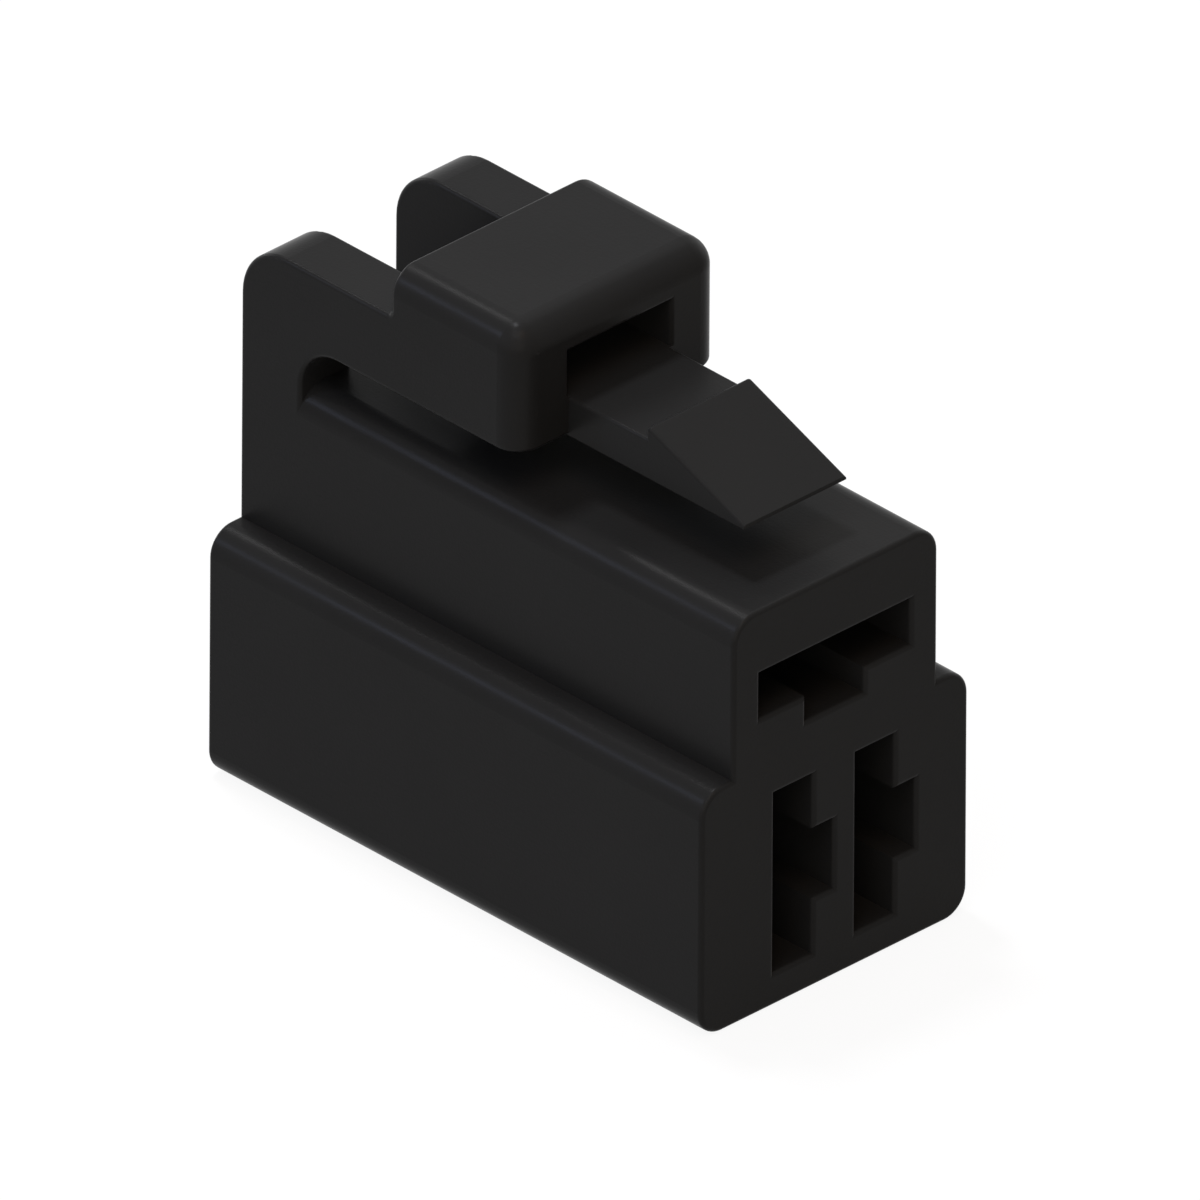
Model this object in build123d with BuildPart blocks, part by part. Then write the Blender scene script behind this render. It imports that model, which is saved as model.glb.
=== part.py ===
from build123d import *
import os

# Three-way plug housing for flat receptacle terminals, moulded in one piece in black plastic.
# X runs across the plug, Y from the mating face at -Y to the wire side, Z up from the flat bottom.
# All sizes are in millimetres, and a name that ends in _back is a distance behind the mating face.

# Body: a wide lower part for the two upright terminals and a narrower upper part for the flat one.
length = 28.0
lower_width = 14.6
lower_height = 11.25
upper_width = 11.2
deck_height = 18.5
corner_radius = 1.2
edge_radius = 0.2

# Terminal cavities: the space for a terminal's box, the groove for its locking tang, and the
# entry for its wire barrel, which opens at the wire side.
terminal_width = 8.25
terminal_height = 2.1
groove_width = 3.2
groove_depth = 1.15
groove_length = 9.0
barrel_back = 12.0
lead_in = 0.35
upright_pitch = 4.47
upright_floor = 1.5
flat_floor = 13.5

# Latch arms: they stand up from the rear end of the body and run forward over a slot.
arm_width = 2.8
arm_height = 3.45
slot_height = 2.15
slot_end_back = 24.6
slot_end_radius = 2.05
ear_radius = 2.5
arm_root_radius = 0.3

# Bridge: the thumb press that joins both arms in front, with a window through it.
bridge_front_back = 12.3
bridge_rear_back = 19.5
bridge_height = 5.6
window_height = 2.1

# Latch beam: it runs forward from the bridge's lower bar and ends in a ramped catch.
beam_thickness = 1.75
catch_back = 7.9
catch_rise = 0.6
tip_back = 2.35
tip_thickness = 0.18
beam_edge_radius = 0.14

# Heights and places that follow from these sizes.
front = -length / 2
rear = length / 2
slot_end = front + slot_end_back
bridge_front = front + bridge_front_back
bridge_rear = front + bridge_rear_back
catch = front + catch_back
tip = front + tip_back
slot_top = deck_height + slot_height
arm_top = slot_top + arm_height
beam_top = slot_top + beam_thickness
well_width = upper_width - 2 * arm_width
upright_middle = upright_floor + terminal_width / 2


def upright_plane(y):
    """Plane across the plug at the given Y, facing the front, with X across and Z up."""
    return Plane.XZ.offset(-y)


# One cavity lying flat: the terminal's floor is at Z = 0, and the groove below it opens at the front.
with BuildPart() as cavity:
    with BuildSketch(upright_plane(rear)):
        Rectangle(terminal_width, terminal_height, align=(Align.CENTER, Align.MIN))
    extrude(amount=length)
    with BuildSketch(upright_plane(front + groove_length)):
        Rectangle(groove_width, groove_depth, align=(Align.CENTER, Align.MAX))
    extrude(amount=groove_length)
    with BuildSketch(upright_plane(rear)):
        with Locations((0, -groove_depth)):
            Rectangle(terminal_width, terminal_height + groove_depth, align=(Align.CENTER, Align.MIN))
    extrude(amount=length - barrel_back)

# The flat cavity keeps its groove below, and the upright ones turn theirs to the same side.
cavity_places = [Location((0, 0, flat_floor))]
for side in (-1, 1):
    floor_x = side * upright_pitch / 2 + terminal_height / 2
    cavity_places.append(Location((floor_x, 0, upright_middle), (0, -90, 0)))

# Body, one section along the whole length, with every outer corner rounded.
with BuildPart() as body:
    with BuildSketch(upright_plane(rear)) as section:
        with Locations((0, lower_height / 2)):
            RectangleRounded(lower_width, lower_height, corner_radius)
        with Locations((0, lower_height / 2)):
            Rectangle(upper_width, deck_height - lower_height / 2, align=(Align.CENTER, Align.MIN))
        fillet(section.vertices().group_by(Axis.Y)[-1], corner_radius)
    extrude(amount=length)
    fillet(body.faces().sort_by(Axis.Y)[-1].edges(), edge_radius)
    with Locations(*cavity_places):
        add(cavity, mode=Mode.SUBTRACT)
    fillet(body.faces().sort_by(Axis.Y)[0].edges(), edge_radius)
    chamfer(body.faces().sort_by(Axis.Y)[-1].inner_wires().edges(), lead_in)

# One arm: an ear on the body's rear end, its foot inside the body below the rounded corner, and
# the spring arm that runs forward into the bridge.
arm_foot = deck_height - 2 * corner_radius
arm_end = bridge_rear - corner_radius
root_back = bridge_rear + arm_root_radius
root_top = arm_top + arm_root_radius
ear_front = rear - ear_radius
ear_side_top = arm_top - ear_radius
slot_curve_front = slot_end - slot_end_radius
slot_curve_bottom = slot_top - slot_end_radius
with BuildPart() as arm:
    with BuildSketch(Plane.YZ.offset(well_width / 2)):
        with BuildLine():
            Line((slot_end, arm_foot), (rear, arm_foot))
            Line((rear, arm_foot), (rear, ear_side_top))
            RadiusArc((rear, ear_side_top), (ear_front, arm_top), -ear_radius)
            Line((ear_front, arm_top), (root_back, arm_top))
            RadiusArc((root_back, arm_top), (bridge_rear, root_top), arm_root_radius)
            Line((bridge_rear, root_top), (arm_end, root_top))
            Line((arm_end, root_top), (arm_end, slot_top))
            Line((arm_end, slot_top), (slot_curve_front, slot_top))
            RadiusArc((slot_curve_front, slot_top), (slot_end, slot_curve_bottom), slot_end_radius)
            Line((slot_end, slot_curve_bottom), (slot_end, arm_foot))
        make_face()
    extrude(amount=arm_width)
    outline_edges = arm.faces().filter_by(Axis.X).edges()
    fillet(outline_edges.filter_by(lambda edge: edge.center().Y > bridge_rear), edge_radius)

# Bridge, with a large radius wherever the thumb meets it.
with BuildPart() as bridge:
    with BuildSketch(upright_plane(bridge_rear)):
        with Locations((0, slot_top)):
            Rectangle(upper_width, bridge_height, align=(Align.CENTER, Align.MIN))
    extrude(amount=bridge_rear - bridge_front)
    top_sides = bridge.edges().filter_by(Axis.Y).group_by(Axis.Z)[-1]
    front_edges = bridge.faces().sort_by(Axis.Y)[0].edges().sort_by(Axis.Z)[1:]
    fillet(top_sides + front_edges, corner_radius)
    rear_edges = bridge.faces().sort_by(Axis.Y)[-1].edges()
    bottom_edges = bridge.faces().sort_by(Axis.Z)[0].edges()
    fillet(rear_edges + bottom_edges, edge_radius)
    with BuildSketch(upright_plane(bridge_rear)):
        with Locations((0, beam_top)):
            Rectangle(well_width, window_height, align=(Align.CENTER, Align.MIN))
    extrude(amount=bridge_rear - bridge_front, mode=Mode.SUBTRACT)
    fillet(bridge.faces().sort_by(Axis.Y)[-1].inner_wires().edges(), edge_radius)
    fillet(bridge.faces().sort_by(Axis.Y)[0].inner_wires().edges().sort_by(Axis.Z)[1:], edge_radius)

# Beam, as wide as the window and flush with the underside of the bridge, with its root inside
# the lower bar. Its catch rises from a thin tip to a step, and all its upper edges are rounded.
beam_root = bridge_front + corner_radius
with BuildPart() as beam:
    with BuildSketch(Plane.YZ):
        with BuildLine():
            Polyline(
                (tip, slot_top),
                (tip, slot_top + tip_thickness),
                (catch, beam_top + catch_rise),
                (catch, beam_top),
                (beam_root, beam_top),
                (beam_root, slot_top),
                close=True,
            )
        make_face()
    extrude(amount=well_width / 2, both=True)
    side_edges = beam.faces().filter_by(Axis.X).edges()
    long_edges = side_edges.filter_by(lambda edge: tip < edge.center().Y < beam_root)
    bottom_pair = 2
    upper_edges = long_edges.sort_by(Axis.Z)[bottom_pair:]
    peak = beam.edges().filter_by(Axis.X).sort_by(Axis.Z)[-1:]
    fillet(upper_edges + peak, beam_edge_radius)

# The moulding, with its second arm a mirror image of the first.
with BuildPart() as housing:
    add(body)
    add(arm)
    mirror(arm.part, about=Plane.YZ)
    add(bridge)
    add(beam)

housing.part.label = "housing"
os.makedirs("parts", exist_ok=True)
export_step(housing.part, "parts/housing.step")
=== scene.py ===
# %% [markdown]
# # A three-way plug housing in black moulded plastic
# The real object is one injection moulding: a stepped block with three slots for flat receptacle
# terminals, and a thumb latch on top of it. The solid model already has its true shape and size, so
# this lesson doesn't model it again. It dresses that solid: it gives it the surface that a steel
# mould leaves on black plastic, puts it on a pale floor, lights it softly and sets up the camera.
# Everything is in metres, and a size that is easier to read in millimetres is multiplied by `mm`.

# %% Load the frame
import math

import bpy
from mathutils import Matrix, Vector


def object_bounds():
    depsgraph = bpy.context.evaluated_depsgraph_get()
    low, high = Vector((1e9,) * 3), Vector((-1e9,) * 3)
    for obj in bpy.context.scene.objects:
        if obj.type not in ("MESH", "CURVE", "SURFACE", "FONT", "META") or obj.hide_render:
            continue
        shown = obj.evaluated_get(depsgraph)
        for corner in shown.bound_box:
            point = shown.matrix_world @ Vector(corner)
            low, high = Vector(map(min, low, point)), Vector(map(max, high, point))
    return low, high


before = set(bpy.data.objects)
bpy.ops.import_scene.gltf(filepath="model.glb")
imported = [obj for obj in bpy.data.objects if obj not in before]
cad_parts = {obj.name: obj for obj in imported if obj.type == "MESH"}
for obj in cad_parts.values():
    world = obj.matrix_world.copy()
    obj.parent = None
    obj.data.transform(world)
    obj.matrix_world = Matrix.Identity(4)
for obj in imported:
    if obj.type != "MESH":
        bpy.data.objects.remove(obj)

mm = 0.001
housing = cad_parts["housing"]
solid_low, solid_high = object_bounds()

# %% [markdown]
# ## The camera
# The photograph has no perspective: edges that are parallel on the object stay parallel in the
# picture, as with a very long lens. Blender's orthographic camera draws exactly that. Its place is
# given by the two angles it looks along and by a very small roll, and its scale is the width of
# what it sees. The middle of the picture isn't the middle of the object, so the camera aims at the
# bottom edge of the mating face and is then moved across its own picture plane.

# %% Camera
view_azimuth = math.radians(-44.13)
view_elevation = math.radians(31.07)
view_roll = math.radians(0.33)
picture_width = 47.244 * mm
shift_right = -9.210 * mm
shift_up = 14.806 * mm
camera_distance = 0.4

mating_face_y = solid_low.y
towards_camera = Vector((
    math.sin(view_azimuth) * math.cos(view_elevation),
    -math.cos(view_azimuth) * math.cos(view_elevation),
    math.sin(view_elevation),
))
level_right = Vector((math.cos(view_azimuth), math.sin(view_azimuth), 0.0))
level_up = towards_camera.cross(level_right)
right = math.cos(view_roll) * level_right + math.sin(view_roll) * level_up
up = math.cos(view_roll) * level_up - math.sin(view_roll) * level_right

aim = Vector((0.0, mating_face_y, 0.0)) + shift_right * right + shift_up * up
camera_data = bpy.data.cameras.new("product_camera")
camera_data.type = "ORTHO"
camera_data.ortho_scale = picture_width
camera = bpy.data.objects.new("product_camera", camera_data)
camera.rotation_mode = "QUATERNION"
camera.rotation_quaternion = Matrix((right, up, towards_camera)).transposed().to_quaternion()
camera.location = aim + camera_distance * towards_camera
bpy.context.scene.collection.objects.link(camera)
bpy.context.scene.camera = camera
print("camera at", [round(value, 4) for value in camera.location])

# %% [markdown]
# ## Colours and nodes
# Colours are written the way a paint program shows them, as sRGB hex values, but Blender's shaders
# count light, so each one is first turned into linear values. A material is a small network of
# nodes, and one function that adds a node, sets it and links it is enough to build every one of
# them. A link is given as the node and the name of its output. Where several sockets of a node share
# one name, as on Math and Mix nodes, a socket's number takes the place of its name.


# %% Colour and node helpers
def linear(hex_colour):
    """The linear red, green, blue and alpha of an sRGB hex colour."""
    channels = [int(hex_colour[i:i + 2], 16) / 255 for i in (1, 3, 5)]
    return [c / 12.92 if c <= 0.04045 else ((c + 0.055) / 1.055) ** 2.4 for c in channels] + [1.0]


def add_node(tree, kind, settings=None, inputs=None):
    """Adds a node. An input's value is a constant, or another node and its output's name or number."""
    node = tree.nodes.new(kind)
    for name, value in (settings or {}).items():
        setattr(node, name, value)
    for name, value in (inputs or {}).items():
        if isinstance(value, tuple) and isinstance(value[0], bpy.types.Node):
            tree.links.new(value[0].outputs[value[1]], node.inputs[name])
        else:
            node.inputs[name].default_value = value
    return node


def empty_tree(owner):
    """The node tree of a material or world, cleared."""
    owner.use_nodes = True
    owner.node_tree.nodes.clear()
    return owner.node_tree


print("white is", linear("#FFFFFF")[:3])

# %% [markdown]
# ## The studio
# The part stands on a plain pale floor with nothing behind it. The picture's background is pure
# white, and more light would only wash the part out, so only the rays that can see the white are
# told of it: the Light Path node knows whether a ray comes from the camera, from a reflection or
# through something clear, and for those the world glows at a strength of one. All other rays meet a
# dim world, which is the soft fill of the room. The floor is pale grey paper for the light and works
# in the same way for the eye, but part of its own shading is kept in the mix, so that it still holds
# the soft shadow in which the part stands. Its glow is a little over one, because the grey paper's
# share is well under one, and the two add up to white.


# %% World
def seen_directly(tree):
    """A value of one for rays from the camera, from reflections and through clear things."""
    rays = add_node(tree, "ShaderNodeLightPath")
    seen = add_node(tree, "ShaderNodeMath", {"operation": "MAXIMUM"},
                    {0: (rays, "Is Camera Ray"), 1: (rays, "Is Glossy Ray")})
    return add_node(tree, "ShaderNodeMath", {"operation": "MAXIMUM"},
                    {0: (seen, "Value"), 1: (rays, "Is Transmission Ray")})


room_colour = "#F4F6FA"
room_strength = 0.05
pure_white = "#FFFFFF"
white_strength = 1.0
world = bpy.data.worlds.new("white_room")
tree = empty_tree(world)
fill = add_node(tree, "ShaderNodeBackground", {}, {
    "Color": linear(room_colour), "Strength": room_strength})
white = add_node(tree, "ShaderNodeBackground", {}, {
    "Color": linear(pure_white), "Strength": white_strength})
either = add_node(tree, "ShaderNodeMixShader", {}, {
    0: (seen_directly(tree), "Value"), 1: (fill, "Background"), 2: (white, "Background")})
add_node(tree, "ShaderNodeOutputWorld", {}, {"Surface": (either, "Shader")})
bpy.context.scene.world = world
bpy.context.scene.view_settings.view_transform = "Standard"
print("room fill", room_strength, "white background", white_strength)

# %% Floor
floor_half_width = 0.5
paper_grey = "#BCBCBC"
floor_glow = 0.78
glow_strength = 1.16
floor_mesh = bpy.data.meshes.new("studio_floor")
corners = [(x * floor_half_width, y * floor_half_width, 0.0)
           for x, y in ((-1, -1), (1, -1), (1, 1), (-1, 1))]
floor_mesh.from_pydata(corners, [], [(0, 1, 2, 3)])
floor = bpy.data.objects.new("studio_floor", floor_mesh)
bpy.context.scene.collection.objects.link(floor)

paper = bpy.data.materials.new("matt_pale_paper")
tree = empty_tree(paper)
sheet = add_node(tree, "ShaderNodeBsdfDiffuse", {}, {"Color": linear(paper_grey)})
glow = add_node(tree, "ShaderNodeEmission", {}, {
    "Color": linear(pure_white), "Strength": glow_strength})
part_of_glow = add_node(tree, "ShaderNodeMath", {"operation": "MULTIPLY"},
                        {0: (seen_directly(tree), "Value"), 1: floor_glow})
blend = add_node(tree, "ShaderNodeMixShader", {}, {
    0: (part_of_glow, "Value"), 1: (sheet, "BSDF"), 2: (glow, "Emission")})
add_node(tree, "ShaderNodeOutputMaterial", {}, {"Surface": (blend, "Shader")})
floor_mesh.materials.append(paper)
print("floor", 2 * floor_half_width, "m wide, with glow for", floor_glow, "of what is seen of it")

# %% [markdown]
# ## The lamps
# Softboxes stand around the part, all at the same distance and aimed at its middle. The high ones
# light the upper faces, the low ones light the sides and reach in under the latch, and three small
# ones draw the narrow highlights along the rounded edges. A lamp's strength is given as the light
# that it puts on white paper facing it, where one would show as pure white, because that can be
# compared with the room's own fill. An area lamp of power P at a distance d shines on such a paper
# with P / (pi * d * d), of which the paper sends P / (pi * pi * d * d) to the eye, and the watts
# follow from that.


# %% Softboxes
part_middle = (solid_low + solid_high) / 2
lamp_distance = 0.40


def softbox(name, azimuth, elevation, size, light, tint):
    """A square lamp facing the part. Azimuth 0 is in front of the mating face, 90 on the +X side."""
    a, e = math.radians(azimuth), math.radians(elevation)
    direction = Vector((math.sin(a) * math.cos(e), -math.cos(a) * math.cos(e), math.sin(e)))
    data = bpy.data.lights.new(name, "AREA")
    data.shape = "SQUARE"
    data.size = size
    data.energy = light * math.pi * math.pi * lamp_distance ** 2
    data.color = linear(tint)[:3]
    lamp = bpy.data.objects.new(name, data)
    lamp.location = part_middle + lamp_distance * direction
    lamp.rotation_mode = "QUATERNION"
    lamp.rotation_quaternion = direction.to_track_quat("Z", "Y")
    bpy.context.scene.collection.objects.link(lamp)
    return lamp


# After each name: azimuth and elevation in degrees, size in metres, light and tint.
lamps = [
    softbox("left_key_softbox", -60, 60, 0.25, 0.335, "#FAFBFF"),
    softbox("front_high_softbox", -20, 60, 0.20, 0.10, "#FFB850"),
    softbox("camera_side_softbox", -45, 15, 0.30, 0.21, "#FFF4E4"),
    softbox("left_low_softbox", -90, 20, 0.30, 0.11, "#F4F8FF"),
    softbox("right_low_softbox", 90, 20, 0.30, 0.19, "#FFFFFF"),
    softbox("rear_right_softbox", 120, 60, 0.25, 0.115, "#FFFFFF"),
    softbox("rear_low_softbox", 180, 12, 0.15, 0.12, "#FFFFFF"),
    softbox("rear_high_lamp", 176, 75, 0.055, 0.42, "#F6F9FF"),
    softbox("edge_lamp", 170, 51, 0.07, 0.13, "#FFFFFF"),
    softbox("cool_edge_lamp", -134, 28, 0.07, 0.12, "#D0DCFF"),
]
print("lamps", [lamp.name for lamp in lamps])

# %% [markdown]
# ## The plastic
# The housing is moulded in black PBT, the usual plastic for such plugs. The mould's steel is
# finished by spark erosion, and that leaves a fine, even grain a little over a tenth of a millimetre
# wide, which takes the mirror out of the surface and keeps a soft sheen on the rounded edges. The
# part is pushed out of the mould along its length, so very faint draw marks run that way too. Under
# both, the melt has cooled a little unevenly, and black plastic shows that as a weak clouding of
# its tone and sheen a few millimetres across. Noise textures in object coordinates draw all three
# without any unwrapping, so the patterns run on round every edge, as they do in the mould.


# %% Patterns on black moulded PBT
def per_metre(feature_size):
    """The scale of a pattern whose features are this many millimetres across."""
    return 1.0 / (feature_size * mm)


grain_size = 0.14
cloud_size = 5.0
draw_mark_width = 0.12
draw_mark_length = 4.0

pbt = bpy.data.materials.new("black_pbt_from_a_spark_eroded_mould")
tree = empty_tree(pbt)
place = add_node(tree, "ShaderNodeTexCoord")
grain = add_node(tree, "ShaderNodeTexNoise", {}, {
    "Vector": (place, "Object"), "Scale": per_metre(grain_size), "Detail": 2.0})
cloud = add_node(tree, "ShaderNodeTexNoise", {}, {
    "Vector": (place, "Object"), "Scale": per_metre(cloud_size), "Detail": 1.0})
squeezed = add_node(tree, "ShaderNodeMapping", {}, {
    "Vector": (place, "Object"), "Scale": (1.0, draw_mark_width / draw_mark_length, 1.0)})
draw_marks = add_node(tree, "ShaderNodeTexNoise", {}, {
    "Vector": (squeezed, "Vector"), "Scale": per_metre(draw_mark_width), "Detail": 1.0})
print("grain", grain_size, "mm, clouding", cloud_size, "mm, draw marks", draw_mark_width, "mm wide")

# %% [markdown]
# The patterns now drive the shader. The grain and the draw marks only tilt the surface, through one
# Bump node each, and their depths are a few thousandths of a millimetre. The clouding changes the
# base colour and the roughness by a few hundredths. PBT's index of refraction is about 1.5, but its
# matt grain hides most of the mirror reflection, so the specular level is set far below the half
# that a polished plastic would have, until the faces are as dark as in the photograph. A Mix node
# has one set of sockets each for numbers, vectors and colours, all with the same names, so those for
# colours are given by their numbers.

# %% Shader of black moulded PBT
grain_depth = 0.004 * mm
draw_mark_depth = 0.002 * mm
dark_black = "#202020"
light_black = "#232323"
smooth_sheen = 0.28
rough_sheen = 0.32
cloud_low = 0.25
cloud_high = 0.75
refraction = 1.5
specular_level = 0.04
colour_a, colour_b, mixed_colour = 6, 7, 2

tone = add_node(tree, "ShaderNodeMix", {"data_type": "RGBA"}, {
    "Factor": (cloud, "Fac"), colour_a: linear(dark_black), colour_b: linear(light_black)})
sheen = add_node(tree, "ShaderNodeMapRange", {"interpolation_type": "SMOOTHSTEP"}, {
    "Value": (cloud, "Fac"), "From Min": cloud_low, "From Max": cloud_high,
    "To Min": smooth_sheen, "To Max": rough_sheen})
drawn = add_node(tree, "ShaderNodeBump", {}, {
    "Height": (draw_marks, "Fac"), "Strength": 1.0, "Distance": draw_mark_depth})
relief = add_node(tree, "ShaderNodeBump", {}, {
    "Height": (grain, "Fac"), "Strength": 1.0, "Distance": grain_depth,
    "Normal": (drawn, "Normal")})
surface = add_node(tree, "ShaderNodeBsdfPrincipled", {}, {
    "Base Color": (tone, mixed_colour), "Roughness": (sheen, "Result"), "IOR": refraction,
    "Specular IOR Level": specular_level, "Normal": (relief, "Normal")})
add_node(tree, "ShaderNodeOutputMaterial", {}, {"Surface": (surface, "BSDF")})

for slot in housing.material_slots:
    slot.material = pbt
print("materials on the housing", [slot.material.name for slot in housing.material_slots])
